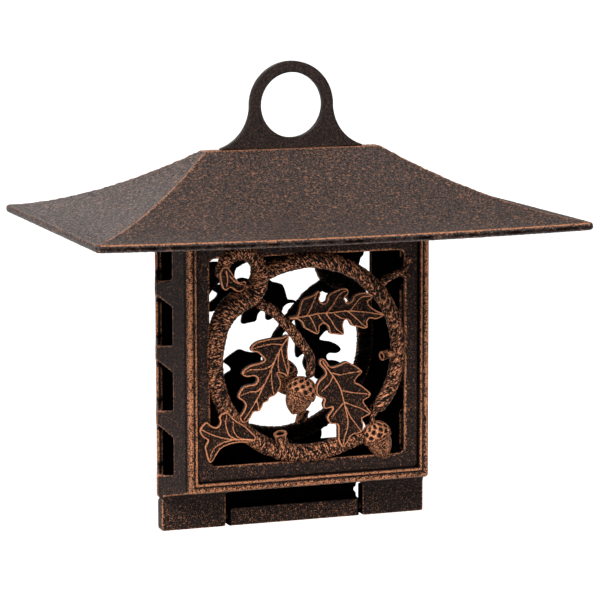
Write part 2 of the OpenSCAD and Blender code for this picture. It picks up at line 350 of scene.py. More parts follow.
def smooth_path(points, step, closed=False):
    """Curve through given points, with points at an even step along it."""
    p = np.array(points, float)
    n = len(p)
    if closed:
        knots = np.concatenate([p[-1:], p, p[:2]])
    else:
        knots = np.concatenate([2 * p[:1] - p[1:2], p, 2 * p[-1:] - p[-2:-1]])
    t = np.linspace(0, 1, 16, endpoint=False)[:, None]
    pieces = []
    for k in range(n if closed else n - 1):
        a, b, c, d = knots[k : k + 4]
        bend = (2 * a - 5 * b + 4 * c - d) * t**2 + (3 * b - a - 3 * c + d) * t**3
        pieces.append(0.5 * (2 * b + (c - a) * t + bend))
    dense = np.concatenate(pieces + [p[:1] if closed else p[-1:]])
    run = np.concatenate([[0], np.cumsum(np.linalg.norm(np.diff(dense, axis=0), axis=1))])
    count = max(4, int(round(run[-1] / step)))
    at = np.linspace(0, run[-1], count + 1)
    even = np.stack([np.interp(at, run, dense[:, k]) for k in range(p.shape[1])], 1)
    return even[:-1] if closed else even


def rail(points, path):
    """Distance from flat points to a path, and how far along it the nearest place is."""
    best = np.full(len(points), 1e9)
    along = np.zeros(len(points))
    nearest = np.zeros((len(points), 2))
    count = len(path) - 1
    for k in range(count):
        a, b = path[k], path[k + 1]
        line = b - a
        t = np.clip(((points - a) @ line) / max(line @ line, 1e-12), 0, 1)
        foot = a + t[:, None] * line
        gap = np.hypot(*(points - foot).T)
        closer = gap < best
        best[closer] = gap[closer]
        along[closer] = (k + t[closer]) / count
        nearest[closer] = foot[closer]
    return best, along, nearest


def inside(points, outline):
    """Whether flat points lie in an outline."""
    hit = np.zeros(len(points), bool)
    x, z = points.T
    for (x0, z0), (x1, z1) in zip(outline, np.roll(outline, -1, 0)):
        if z0 == z1:
            continue
        crosses = (z0 > z) != (z1 > z)
        hit ^= crosses & (x < x0 + (z - z0) * (x1 - x0) / (z1 - z0))
    return hit


# ---------- materials ----------
class Nodes:
    """Short calls for wiring one material."""

    def __init__(self, name, woven=False):
        self.material = bpy.data.materials.new(name)
        self.material.use_nodes = True
        self.tree = self.material.node_tree
        self.shader = self.tree.nodes["Principled BSDF"]
        if woven:
            self.place = self.attribute("weave", "Vector")
        else:
            self.place = self.tree.nodes.new("ShaderNodeTexCoord").outputs["Object"]

    def feed(self, sockets, values):
        """Sets each named socket to its number or colour, or links its source to it."""
        for key, value in values.items():
            if isinstance(value, tuple):
                sockets[key].default_value = (*value, 1)
            elif isinstance(value, (int, float)):
                sockets[key].default_value = value
            else:
                self.tree.links.new(value, sockets[key])

    def shade(self, values):
        self.feed(self.shader.inputs, values)

    def attribute(self, name, output="Fac"):
        node = self.tree.nodes.new("ShaderNodeAttribute")
        node.attribute_name = name
        return node.outputs[output]

    def grain(self, size_mm, detail=2.0, rough=0.5):
        node = self.tree.nodes.new("ShaderNodeTexNoise")
        scale = 1 / (size_mm * MM)
        values = {"Vector": self.place, "Scale": scale, "Detail": detail, "Roughness": rough}
        self.feed(node.inputs, values)
        return node.outputs["Fac"]

    def span(self, value, low, high, to_low=0.0, to_high=1.0):
        node = self.tree.nodes.new("ShaderNodeMapRange")
        node.interpolation_type = "SMOOTHSTEP"
        self.feed(node.inputs, {"Value": value, "From Min": low, "From Max": high})
        self.feed(node.inputs, {"To Min": to_low, "To Max": to_high})
        return node.outputs["Result"]

    def maths(self, kind, a, b):
        node = self.tree.nodes.new("ShaderNodeMath")
        node.operation = kind
        self.feed(node.inputs, {0: a, 1: b})
        return node.outputs[0]

    def mix(self, factor, a, b):
        node = self.tree.nodes.new("ShaderNodeMix")
        node.data_type = "RGBA"
        self.feed(node.inputs, {0: factor, 6: a, 7: b})
        return node.outputs[2]

    def bump(self, height, depth_mm):
        node = self.tree.nodes.new("ShaderNodeBump")
        self.feed(node.inputs, {"Strength": 1.0, "Distance": depth_mm * MM, "Height": height})
        self.shade({"Normal": node.outputs["Normal"]})


def rubbed_bronze(
    name, dark, coat, copper, grain_mm, speck, speck_from, bump_mm, shine, wear, wear_from,
    woven=False,
):
    """Dark coat over copper: copper shows where the piece is rubbed and on the grain's peaks.
    Where the rubbing value is below zero, shade is painted in: the coat darkens towards a
    third of its dark colour and loses its specular shine, in hollows, insides and undersides.
    The numbers are the grain's size, how strong its specks are and from what height, the bump,
    the coat's shine, and how broken the rubbed-through copper is and from what rubbing value it starts."""
    n = Nodes(name, woven)
    fine = n.grain(grain_mm, 2.0, 0.6)
    tiny = n.grain(grain_mm * 0.55, 1.0, 0.5)
    broad = n.grain(24.0, 2.0, 0.5)
    rub = n.attribute("rub")
    # painted shade: open_face is 1 where the rubbing value is zero or more and falls to 0 at -1; it also
    # keeps the specks off shaded faces
    open_face = n.span(rub, -1.0, 0.0)
    peaks = n.span(fine, speck_from, speck_from + 0.10, 0.0, speck)
    peaks = n.maths("MULTIPLY", peaks, n.span(broad, 0.3, 0.65, 0.5, 1.2))
    peaks = n.maths("MULTIPLY", peaks, open_face)
    broken = n.maths("MULTIPLY", n.maths("SUBTRACT", tiny, 0.5), wear)
    rubbed = n.span(n.maths("ADD", rub, broken), wear_from, wear_from + 0.55)
    amount = n.maths("MAXIMUM", rubbed, peaks)
    layer = n.mix(n.span(tiny, 0.40, 0.62), dark, coat)
    # painted shade: as open_face falls, the coat darkens to 0.3 of its dark colour, and the specular
    # level below drops with it
    layer = n.mix(open_face, tuple(0.3 * c for c in dark), layer)
    n.shade({
        "Base Color": n.mix(amount, layer, copper),
        "Metallic": n.span(amount, 0.0, 1.0, 0.0, 0.55),
        "Roughness": n.span(fine, 0.3, 0.7, 0.62, 0.46),
        "Specular IOR Level": n.maths("MULTIPLY", open_face, shine),
    })
    n.bump(n.maths("ADD", fine, n.maths("MULTIPLY", tiny, 0.6)), bump_mm)
    return n.material


def plated_steel(name, colour, rough):
    n = Nodes(name)
    fine = n.grain(0.9, 3.0, 0.6)
    tint = tuple(0.72 * c for c in colour)
    n.shade({
        "Base Color": n.mix(n.span(fine, 0.3, 0.7), tint, colour), "Metallic": 0.9,
        "Roughness": n.span(fine, 0.3, 0.7, rough, rough + 0.16),
    })
    n.bump(fine, 0.03)
    return n.material


roof_finish = rubbed_bronze(
    "hammered_bronze", (0.008, 0.005, 0.0045), (0.068, 0.045, 0.0385), (0.46, 0.2, 0.106),
    1.35, 0.55, 0.57, 0.40, 0.32, 2.3, 0.33,
)
plate_finish = rubbed_bronze(
    "fine_bronze", (0.007, 0.005, 0.0045), (0.032, 0.0205, 0.0175), (0.34, 0.15, 0.08),
    1.0, 0.30, 0.61, 0.10, 0.10, 1.9, 0.40,
)
pan_finish = rubbed_bronze(
    "cast_bronze", (0.004, 0.0026, 0.0024), (0.026, 0.0165, 0.014), (0.5, 0.21, 0.105),
    0.95, 0.30, 0.61, 0.12, 0.06, 3.2, 0.56,
)
wreath_finish = rubbed_bronze(
    "rubbed_wreath", (0.0026, 0.0016, 0.0014), (0.016, 0.0094, 0.0076), (0.62, 0.255, 0.128),
    0.72, 0.25, 0.60, 0.24, 0.06, 4.2, 0.46, woven=True,
)
steel_finish = plated_steel("zinc_plate", (0.38, 0.36, 0.34), 0.34)


# ---------- roof ----------
def slope_drop(t):
    """Fall below the flat top at t, from 0 at the top to 1 at the eave."""
    return (TOP_Z - EAVE_Z) * (1 - (1 - t) ** ROOF_CURVE)


def rectangle_ring(half_w, half_d, corner, n_long, n_short):
    """Points round a rectangle with rounded corners, evenly along each side."""
    s = np.linspace(-1, 1, n_long, endpoint=False)
    u = np.linspace(-1, 1, n_short, endpoint=False)
    x = np.concatenate([s, np.ones(n_short), -s, -np.ones(n_short)]) * half_w
    y = np.concatenate([-np.ones(n_long), u, np.ones(n_long), -u]) * half_d
    over_x = np.abs(x) - (half_w - corner)
    over_y = np.abs(y) - (half_d - corner)
    near = (over_x > 0) & (over_y > 0) & (corner > 0)
    scale = corner / np.maximum(np.hypot(over_x, over_y), 1e-9)
    x = np.where(near, np.sign(x) * (half_w - corner + over_x * scale), x)
    y = np.where(near, np.sign(y) * (half_d - corner + over_y * scale), y)
    return x, y


def half_sizes(t):
    return TOP_W / 2 + (ROOF_W - TOP_W) / 2 * t, TOP_D / 2 + (ROOF_D - TOP_D) / 2 * t


def sag(x, y, half_w, half_d, t):
    """Drop below the plain slopes: the front and rear eaves hang, the hips and corners rise."""
    on_front = np.abs(y) > half_d - 0.01
    along = np.where(on_front, np.clip(np.abs(x) / half_w, 0, 1), 1.0)
    lift = 0.6 * t**2 + 0.65 * 6.75 * t**2 * (1 - min(t, 1.0))
    return 0.9 * (1 - along**2) * t**2 - lift * along**2


def build_roof():
    levels = 86
    shape = Shape()
    rows, edge = [], []

    def add_row(t, inset, corner, low, hang=1.0):
        """Points round the roof at t, set in and lowered, with a share of the sag."""
        half_w, half_d = (half - inset for half in half_sizes(t))
        x, y = rectangle_ring(half_w, half_d, corner, 232, 164)
        rows.append(np.stack([x, y, TOP_Z - low - hang * sag(x, y, half_w, half_d, t)], 1))
        return x, y, half_w, half_d

    # slopes, with the levels evenly spaced along the surface
    fine_t = np.linspace(0, 0.987, 400)
    reach = (ROOF_D - TOP_D) / 2 * fine_t
    run = np.concatenate([[0], np.cumsum(np.hypot(np.diff(reach), np.diff(slope_drop(fine_t))))])
    for t in np.interp(np.linspace(0, run[-1], levels), run, fine_t):
        x, y, half_w, half_d = add_row(t, 0, CORNER_R * t**5, slope_drop(t))
        # distance from the hip line, measured along the surface's rows
        on_front = np.abs(np.abs(y) - half_d) < 0.01
        to_hip = np.where(on_front, half_w - np.abs(x), half_d - np.abs(y))
        edge.append(np.maximum(bell(to_hip, 0.95), 0.9 * bell(half_d, 0.7, TOP_D / 2)))
    # rounded lip, and the step up to the hollow underside: inset, drop, how rubbed; copper on the lip's
    # top edge, and painted shade below zero down its face and the step, weaker on the sides
    lip_rows = (
        (0.75, 0.05, 1.1), (0.35, 0.45, 1.1), (0.1, 1.0, -0.35), (0.0, 1.7, -0.85),
        (0.0, 2.4, -0.90), (0.15, 3.0, -0.65), (0.5, 3.55, 0.20), (1.1, 3.9, -0.3),
        (2.0, LIP_H, -0.7), (2.7, 3.95, -0.7), (3.0, 3.7, -0.7), (3.1, 3.3, -0.7),
    )
    for inset, drop, rub in lip_rows:
        x, y, half_w, half_d = add_row(1.0, inset, CORNER_R, TOP_Z - EAVE_Z + drop)
        edge.append(rub * np.where(np.abs(y) > half_d - 0.01, 1.0, 0.30))
    for t in np.linspace(0.962, 0, 26):
        add_row(t, 0, CORNER_R * t**5, SKIN_T + slope_drop(t), 0.6)
        edge.append(np.zeros(len(x)))
    rings, cols = len(rows), len(rows[0])
    points = np.concatenate(rows)
    normals = point_normals(points, grid(rings, cols, wrap_cols=True))
    if normals[: cols * levels, 2].mean() < 0:
        normals = -normals
    edge = np.concatenate(edge)
    # hammered face: rounded lumps about 3 mm apart, with finer lumps between them
    flat = points[:, :2] * np.array([1.0, 1.08])
    warp = np.stack([noise(points, 4.0, 3), noise(points, 4.0, 4)], 1)
    near, second = pebbles(flat + 0.7 * warp, 2.9, 11)
    lump = ramp(second - near, 0.0, 0.55) * (1 - 0.5 * near)
    small = noise(points, 1.3, 7)
    level = np.repeat(np.arange(rings), cols)
    inner_lip = levels + 9
    fade = np.where(level < inner_lip, 0.4, 0.2)
    fade = np.where((level < levels - 1) & (level > 0), 1.0, fade)
    height = (0.38 * (lump - 0.45) + 0.09 * small) * fade
    points = points + normals * height[:, None]
    half_box = np.array([ROOF_W / 2, ROOF_D / 2])
    points[:, :2] = np.clip(points[:, :2], -half_box, half_box)
    peak = np.clip((lump - 0.42) * 1.1 + 0.22 * small, 0, 1)
    patchy = 0.55 + 0.45 * noise(points, 26.0, 9)
    edge = edge * (0.85 + 0.30 * noise(points, 2.2, 21))
    rub = np.where(np.abs(edge) > 0.3 * peak, edge, 0.30 * peak * patchy * fade)
    # painted shade over the lip's inner step and the whole underside
    rub = np.clip(np.where(level > inner_lip, -0.7, rub), -1, 1)
    shape.add_rings(points, rings, rub)
    shape.build("roof_casting", roof_finish, "hung_body", replaces=("roof",))

    # pad under the flat top and the two screw bosses
    parts = [block(-SCREW_X, SCREW_X, -7, 7, TOP_Z - 8, TOP_Z - 2)]
    for side in (-1, 1):
        for r, foot in ((6, None), (7.5, 5.0)):
            ring = disc(side * SCREW_X, SCREW_Y, r)
            skin = [TOP_Z - slope_drop((2 * y - TOP_D) / (ROOF_D - TOP_D)) for _, y in ring]
            low = [(x, y, z - foot if foot else SCREW_SEAT_Z) for (x, y), z in zip(ring, skin)]
            parts.append(loft(low, [(x, y, z - 2.2) for (x, y), z in zip(ring, skin)]))
    points, faces = fused(parts, 0.8, 3)
    shape = Shape()
    shape.add(points, faces, 0.25 * ramp(sharpness(points, faces, 4), 0.05, 0.25))
    shape.build("roof_bosses", pan_finish, "hung_body")


# ---------- hanger ----------
def build_hanger():
    half_t = PLATE_T / 2
    section = [(HOLE_R, -half_t), (RING_R, -half_t), (RING_R, half_t), (HOLE_R, half_t)]
    rows = [[(x, y, z) for x, z in disc(0, 0, r, 96)] for r, y in section]
    parts = [(np.concatenate(rows), grid(4, 96, True, True))]
    # foot between the two concave flares, its upper edge following the hole
    flare_r = -TOP_Z
    flare_x = RING_R + flare_r
    foot_x = FOOT_W / 2
    low = math.acos((flare_x - foot_x) / flare_r)
    flare = arc(flare_x, 0, flare_r, np.linspace(math.pi + low, math.pi, 30))
    under = arc(0, 0, (HOLE_R + RING_R) / 2, np.linspace(0, -math.pi, 60))
    outline = [(-foot_x, TOP_Z), (foot_x, TOP_Z)] + flare + under
    outline += [(-x, z) for x, z in flare[::-1]]
    parts.append(slab(outline, -half_t, half_t))
    parts.append(block(-25, 25, -half_t, half_t, TOP_Z - 15, TOP_Z + 1))
    points, faces = fused(parts, 0.45, 2)
    out = sharpness(points, faces, 5)
    rub = 0.85 * ramp(out, 0.09, 0.22) * (0.55 + 0.5 * noise(points, 3.0, 5))
    points[:, 1] += 0.05 * noise(points, 2.0, 31)
    shape = Shape()
    shape.add(points, faces, np.clip(rub, 0, 1))
    shape.build("hanger_plate", plate_finish, "hung_body", replaces=("hanger_ring",))


# ---------- the two halves of the box ----------
def wall_out(y):
    """How far the top and bottom walls have flared out at a depth."""
    return FLARE * (y + HALF_D) / HALF_D


def side_out(y):
    """The same for the side walls."""
    return SIDE_FLARE * (y + HALF_D) / HALF_D


def rim_gap(x, z):
    """How far in from the panel's nearest edge."""
    return np.minimum(PANEL_W / 2 - np.abs(x), PANEL_H / 2 - np.abs(z - MID_Z))


def pan_parts():
    seam = -SEAM_GAP
    half_w, half_h = PANEL_W / 2, PANEL_H / 2
    parts = []
    # side walls with four open notches each
    start = -HALF_D + 1.6
    outline = [(start, -half_h - wall_out(start)), (seam, -half_h - wall_out(seam))]
    for k in range(4):
        z = NOTCH_UP + (k - 1.5) * NOTCH_PITCH
        low, high = z - NOTCH_HALF, z + NOTCH_HALF
        outline += [(seam, low - NOTCH_FALL), (-NOTCH_DEEP, low)]
        outline += [(-NOTCH_DEEP, high), (seam, high + NOTCH_RISE)]
    outline += [(seam, half_h + wall_out(seam)), (start, half_h + wall_out(start))]
    for side in (-1, 1):
        outer = [(side * (half_w + side_out(y)), y, MID_Z + z) for y, z in outline]
        inner = [(x - side * WALL_T, y, z) for x, y, z in outer]
        parts.append(loft(outer, inner))
    # top and bottom walls
    for side in (-1, 1):
        corners = [(-1, start), (1, start), (1, seam), (-1, seam)]
        outer = [
            (s * (half_w + side_out(y)), y, MID_Z + side * (half_h + wall_out(y)))
            for s, y in corners
        ]
        inner = [(x, y, z - side * WALL_T) for x, y, z in outer]
        parts.append(loft(outer, inner))
    # raised rim and recessed border
    front, back = -HALF_D, -HALF_D + RECESS + BORDER_T
    for inner_w, inner_h, y0 in (
        (half_w - RIM_W + 0.4, half_h - RIM_W + 0.4, front + 1.2),
        (OPEN_W / 2, OPEN_H / 2, front + RECESS),
    ):
        for side in (-1, 1):
            x0, x1 = sorted((side * inner_w, side * half_w))
            parts.append(block(x0, x1, y0, back, MID_Z - half_h, MID_Z + half_h))
            z0, z1 = sorted((side * inner_h, side * half_h))
            parts.append(block(-half_w, half_w, y0, back, MID_Z + z0, MID_Z + z1))
    # fillets in the opening's corners
    r, x0, z0 = 3.0, OPEN_W / 2, OPEN_H / 2
    ring = [(x0 + 1, z0 - r)] + arc(x0 - r, z0 - r, r, np.linspace(0, math.pi / 2, 7))
    ring += [(x0 - r, z0 + 1), (x0 + 1, z0 + 1)]
    for sx in (-1, 1):
        for sz in (-1, 1):
            parts.append(slab([(sx * x, MID_Z + sz * z) for x, z in ring], front + RECESS, back))
    return parts


def front_hinge_parts():
    """Outer hinge blocks, rounded behind so that they turn clear of the rear half."""
    outline = [(-4.0, 0), (4.0, 0), (4.0, 15.8), (3.0, 16.1), (2.0, 16.3), (0.0, 16.5)]
    outline += [(-0.2, 16.5), (-0.2, 18.5), (-4.0, 19.0)]
    half = HINGE_W / 2
    return [
        loft(*([(x, y, HINGE_FOOT_Z + up) for y, up in outline] for x in ends))
        for ends in ((-half, -KNUCKLE_L / 2 - 1.7), (KNUCKLE_L / 2 + 2.2, half))
    ]


def rear_parts():
    """Centre knuckle with its web, screw pads and latch post, as they lie before the turn."""
    knuckle_top = HINGE_FOOT_Z + KNUCKLE_H
    end = KNUCKLE_L / 2 + 0.1
    parts = [block(-end, end, -4.1, 4, HINGE_FOOT_Z, knuckle_top)]
    # the web has a round notch in one side
    web_low, notch_z, notch_r = knuckle_top - 1, (knuckle_top + BOX_FOOT_Z) / 2 - 1, 1.5
    outline = [(end, web_low), (end, BOX_FOOT_Z), (-end, BOX_FOOT_Z)]
    outline += arc(-end, notch_z, notch_r, np.linspace(math.pi / 2, -math.pi / 2, 13))
    parts.append(slab(outline + [(-end, web_low)], -4.0, -SEAM_GAP))
    for side in (-1, 1):
        pad = disc(side * SCREW_X, -SCREW_Y, 6)
        heights = (SCREW_SEAT_Z - 12.5, SCREW_SEAT_Z)
        parts.append(loft(*([(x, y, z) for x, y in pad] for z in heights)))
    parts.append(block(-8, 8, -5.15, -SEAM_GAP, SCREW_SEAT_Z - 7, SCREW_SEAT_Z + 6))
    return parts


# across the raised rim: distance in from the panel's edge, depth, how rubbed, with painted shade below
# zero in the groove and down the inner wall
RIM_PROFILE = (
    (-0.55, -26.0, 0.1), (-0.72, -27.1, 0.40), (-0.35, -28.0, 0.70), (0.05, -28.6, 0.90),
    (0.55, -28.95, 0.98), (1.10, -29.0, 0.90), (1.70, -28.95, 0.74), (2.15, -28.75, 0.50),
    (2.45, -28.5, 0.2), (2.65, -28.25, -0.4), (2.90, -28.2, -0.4), (3.10, -28.4, 0.5),
    (3.40, -28.75, 1.05), (3.85, -28.85, 1.15), (4.25, -28.6, 0.90), (4.50, -28.0, 0.2),
    (4.55, -27.2, -0.7), (4.60, -26.2, -0.9), (4.60, -25.5, -0.9), (-0.30, -25.5, 0.0),
)


def rim_frame(shape):
    """Raised rim round the panel: a broad outer bead, a groove and a thin inner bead."""
    rows, rubs = [], []
    for gap, y, rub in RIM_PROFILE:
        corner = max(0.0, 0.9 - gap)
        x, z = rectangle_ring(PANEL_W / 2 - gap, PANEL_H / 2 - gap, corner, 214, 217)
        rows.append(np.stack([x, np.full(len(x), y), z + MID_Z], 1))
        rubs.append(np.full(len(x), rub))
    points, rub = np.concatenate(rows), np.concatenate(rubs)
    faces = grid(len(rows), len(rows[0]), True, True)
    rough = noise(points, 1.5, 27)
    points[:, 1] += np.where(points[:, 1] < -28.0, 0.16 * (rough - 0.4), 0)
    bead = 0.22 * noise(points, 1.3, 28) + 0.10 * noise(points, 9.0, 29)
    # the inner bead is rubbed brightest along the bottom
    low = ramp(HINGE_FOOT_Z - points[:, 2], -65.0, -27.0)
    inner_bead = rim_gap(points[:, 0], points[:, 2]) > 2.9
    bead = bead - np.where(inner_bead, 0.25 * (1 - low), 0.15 * low)
    rub = np.where(rub > 0.05, rub + bead, rub)
    shape.add(points, faces, np.clip(rub, -1, 1))


def build_pan(name, extra, body, turned, replaces):
    points, faces = fused(pan_parts() + extra, 0.77, 2)
    out = sharpness(points, faces, 4)
    x, y, z = points.T
    rub = 1.15 * ramp(out, 0.07, 0.16) * (0.85 + 0.25 * noise(points, 2.4, 17))
    # the hinge blocks and the knuckle are hammered, and rubbed along their lower parts
    low = ramp(HINGE_FOOT_Z - z, -17.0, -6.0)
    lumps = (0.18 + 0.14 * noise(points, 2.4, 33)) * low * (1 - 0.6 * ramp(x, 36, 40))
    # patches of wear low on the panel's border and where it meets the rim
    border = ramp(-y, 24.0, 25.5) * (np.abs(x) < PANEL_W / 2 - RIM_W)
    wear_and_shade = border * ramp(noise(points, 14.0, 35), -0.1, 0.6)
    lumps = np.maximum(lumps, (0.12 + 0.14 * noise(points, 2.0, 34)) * wear_and_shade)
    rub = np.maximum(rub, lumps)
    # painted shade darkens the inside, the border beside the rim, and the hollows of the border and the
    # hinge, where they are not rubbed
    within = (np.abs(x) < PANEL_W / 2 + side_out(y) - 1.3) & (y > -HALF_D + 4.5)
    within &= np.abs(z - MID_Z) < PANEL_H / 2 + wall_out(y) - 1.3
    by_rim = (rim_gap(x, z) < RIM_W + 1.2) & (y < -25.0)
    hollow = 0.9 * within + 0.5 * by_rim + 0.9 * ramp(-out, 0.05, 0.15)
    hollow = np.clip(hollow, 0, 1) * (rub < 0.35)
    # painted shade, at its darkest, also covers the hinge's end faces and the web above the knuckle
    hinge = z < MID_Z - PANEL_H / 2 - FLARE
    ends = (np.abs(np.abs(x) - KNUCKLE_L / 2 - 1.2) < 2.0) & (y > -3.3)
    web = (z > HINGE_FOOT_Z + KNUCKLE_H - 0.3) & (np.abs(x) < KNUCKLE_L / 2 + 1)
    hollow = np.where(hinge & (ends | web), rub + 1, hollow)
    shape = Shape()
    shape.add(points, faces, np.clip(rub - hollow, -1, 1))
    rim_frame(shape)
    shape.build(name, pan_finish, body, turned, replaces)


# ---------- the wreath, in panel coordinates: x across, z up from the panel's middle ----------
# knots of the vine: across, up, radius
LOOP = [
    (33, -41.5, 2.6), (28, -43, 3.4), (22, -44.8, 4), (15, -46.6, 4.3), (7, -48.3, 4.4), (0, -49, 4.5),
    (-10, -48.2, 4.5), (-20, -45, 4.4), (-30, -39.3, 4.3), (-38.4, -31.7, 4.3), (-44.6, -22.2, 4.3),
    (-48.6, -11, 4.3), (-49.6, 0, 4.3), (-48.8, 9, 4.6), (-47, 18.2, 5.1), (-42.8, 25.8, 5.7),
    (-36.6, 30.6, 6), (-30.2, 34, 6), (-26.8, 39, 5.1), (-25.8, 45, 4.5), (-27.4, 50.6, 4.2),
    (-32, 54.6, 4), (-37.8, 54.8, 3.8), (-42.8, 51.8, 3.6), (-45.4, 46.8, 3.2), (-46, 42, 2.4),
]
ARCH = [
    (-26, 42, 3.8), (-20, 45.2, 4.1), (-12, 48, 4.2), (-4, 49.6, 4.2), (4, 49.7, 4.2), (14, 47.7, 4.2),
    (24, 43.4, 4.1), (33, 36.8, 4), (40, 29, 3.9), (45, 20, 3.9), (48, 10, 3.8), (48.6, 0, 3.8),
    (47.4, -9, 3.8), (44.6, -18, 3.7), (40.3, -25, 3.5), (36.4, -29.6, 2.7),
]
STALK = [
    (-27.5, 30, 2.9), (-22, 26.8, 2.7), (-17, 23, 2.6), (-12, 18, 2.6), (-8, 13, 2.5),
    (-4.5, 8.5, 2.4), (-0.5, 3.5, 2.4), (1.4, -2, 2.3), (1.2, -6, 2.2), (0, -10.5, 2.1),
]
# thin twigs: knots, points round, depth of the bark, depth of the middle
TWIGS = (
    ([(38.5, 35.5, 2.3), (43, 38.6, 2.0), (50.4, 41.6, 1.5)], 28, 0.3, -25.6),
    ([(49.4, 41, 1.7), (52.4, 44.0, 1.5), (54.2, 49.2, 1.2)], 22, 0.2, -26.6),
    ([(48.6, 41, 1.6), (51.6, 39.8, 1.5), (54.8, 38.9, 1.4)], 22, 0.2, -27.0),
    ([(36.8, -28.6, 1.7), (34.6, -31.2, 1.3), (34.2, -34, 1.2), (34.8, -38, 1.2)], 22, 0.2, -26.6),
    ([(-34.4, 38.8, 1.6), (-32.6, 37.2, 1.9), (-31, 36, 1.4)], 26, 0.2, -27.2),
)


def tube(shape, knots, pitch, around, twist, depth, y=WREATH_Y, seed=0):
    """Vine of round section, cast flat at the back, whose bark lines cross it at a twist."""
    path = smooth_path(knots, pitch)
    flat, radius = path[:, :2], path[:, 2]
    run = np.concatenate([[0], np.cumsum(np.hypot(*np.diff(flat, axis=0).T))])
    left = run[-1] - run
    for gap in (run, left):
        near = np.clip(1 - gap / radius, 0, 1)
        radius = radius * np.sqrt(np.maximum(1 - near**2, 0.0025))
    forward = np.gradient(flat, axis=0)
    forward /= np.linalg.norm(forward, axis=1)[:, None]
    side = np.stack([forward[:, 1], -forward[:, 0]], 1)
    # the bark's seam is at the back
    angle = turns(around)[None] - 1.5 * math.pi
    girth = angle * np.mean([knot[2] for knot in knots])
    u = run[:, None]
    along = u * math.cos(twist) + girth * math.sin(twist)
    across = -u * math.sin(twist) + girth * math.cos(twist)
    ridge = noise_over(40 + seed, along / 2.6, across / 0.64, seed * 7.3)
    rough = noise_over(60 + seed, along / 1.3, across / 1.3, seed * 3.1)
    relief = 1.15 * ridge + 0.35 * rough
    lumpy = noise_over(80 + seed, u / 9, np.cos(angle), np.sin(angle))
    ends = np.clip(np.minimum(run, left) / 1.5, 0, 1)[:, None]
    r = radius[:, None] + (depth * relief + 0.22 * lumpy) * ends
    x = flat[:, 0:1] + side[:, 0:1] * np.cos(angle) * r
    z = flat[:, 1:2] + side[:, 1:2] * np.cos(angle) * r
    middle = y if np.isscalar(y) else np.interp(run, *y)[:, None]
    depth_y = np.minimum(middle + np.sin(angle) * r, WREATH_BACK_Y)
    points = np.stack([x, depth_y, z + MID_Z], -1).reshape(-1, 3)
    # copper is rubbed on the vine's front and fades round its sides, partly as wear and partly as painted
    # light; painted shade darkens the bark's grooves and the back of the vine
    facing = np.clip(0.75 - 0.55 * np.sin(angle), 0, 1)
    rub = (0.36 + 0.26 * relief) * facing
    rub = rub - 0.50 * ramp(-relief, 0.1, 0.7) - 0.8 * (1 - ramp(facing, 0.2, 0.6))
    weave = np.stack([along / 3.0, across, np.full_like(along, seed * 9.0)], -1)
    shape.add_rings(points, len(path), rub.reshape(-1), weave.reshape(-1, 3))


def cut_branch(shape, start, end, r, seed):
    """Short branch, in panel coordinates with depth, whose sawn end is dished."""
    start, end = np.array(start, float), np.array(end, float)
    length = np.linalg.norm(end - start)
    axis = (end - start) / length
    side = np.cross(axis, (0, 1, 0))
    side /= np.linalg.norm(side)
    up = np.cross(axis, side)
    run = np.linspace(0, length, 26)
    swell = 1 + 0.18 * bell(run, 0.9, length) + 0.25 * np.exp(-run / 1.5)
    rows = [(t, r * k, 0.5) for t, k in zip(run, swell)]
    # sawn end rows: past the end, radius, how rubbed; a rubbed copper rim, and painted shade in the dish
    sawn = ((0.25, 1.05, 1.0), (0.3, 0.85, 1.0), (0.05, 0.66, 0.4), (-0.7, 0.52, -1.0))
    rows += [(length + out, r * k, wear_and_shade) for out, k, wear_and_shade in sawn + ((-1.0, 0.25, -1.0),)]
    turn = turns(40)
    points, rub = [], []
    for t, radius, wear_and_shade in rows:
        bark = noise_over(50 + seed, t / 2.2, r * turn / 0.9, seed) * (wear_and_shade == 0.5)
        spoke = np.cos(turn)[:, None] * side + np.sin(turn)[:, None] * up
        points.append(start + t * axis + (radius + 0.28 * bark)[:, None] * spoke)
        rub.append(np.where(wear_and_shade == 0.5, 0.25 + 1.1 * bark, wear_and_shade))
    points = np.concatenate(points)
    points[:, 2] += MID_Z
    points[:, 1] = np.minimum(points[:, 1], WREATH_BACK_Y)
    shape.add_rings(points, len(rows), np.clip(np.concatenate(rub), -1, 1))


def web(shape, outline):
    """Thin plate behind the vine, painted in shade."""
    edge = smooth_path(outline, 1.0, closed=True)
    middle = edge.mean(0)
    rows = []
    for y, scale in ((-23.9, 0.985), (-24.2, 1), (WREATH_BACK_Y - 0.1, 1)):
        x, z = (middle + (edge - middle) * scale).T
        rows.append(np.stack([x, np.full(len(x), y), z + MID_Z], 1))
    shape.add_rings(np.concatenate(rows), len(rows), -0.9)


def vine_face(points):
    """How far the vine stands out in front of its middle at flat points, 0 beside it."""
    face = np.zeros(len(points))
    for knots in (LOOP, ARCH):
        path = smooth_path(knots, 2.0)
        gap, along, _ = rail(points, path[:, :2])
        radius = np.interp(along, np.linspace(0, 1, len(path)), path[:, 2])
        face = np.maximum(face, np.sqrt(np.clip(radius**2 - gap**2, 0, None)))
    return face


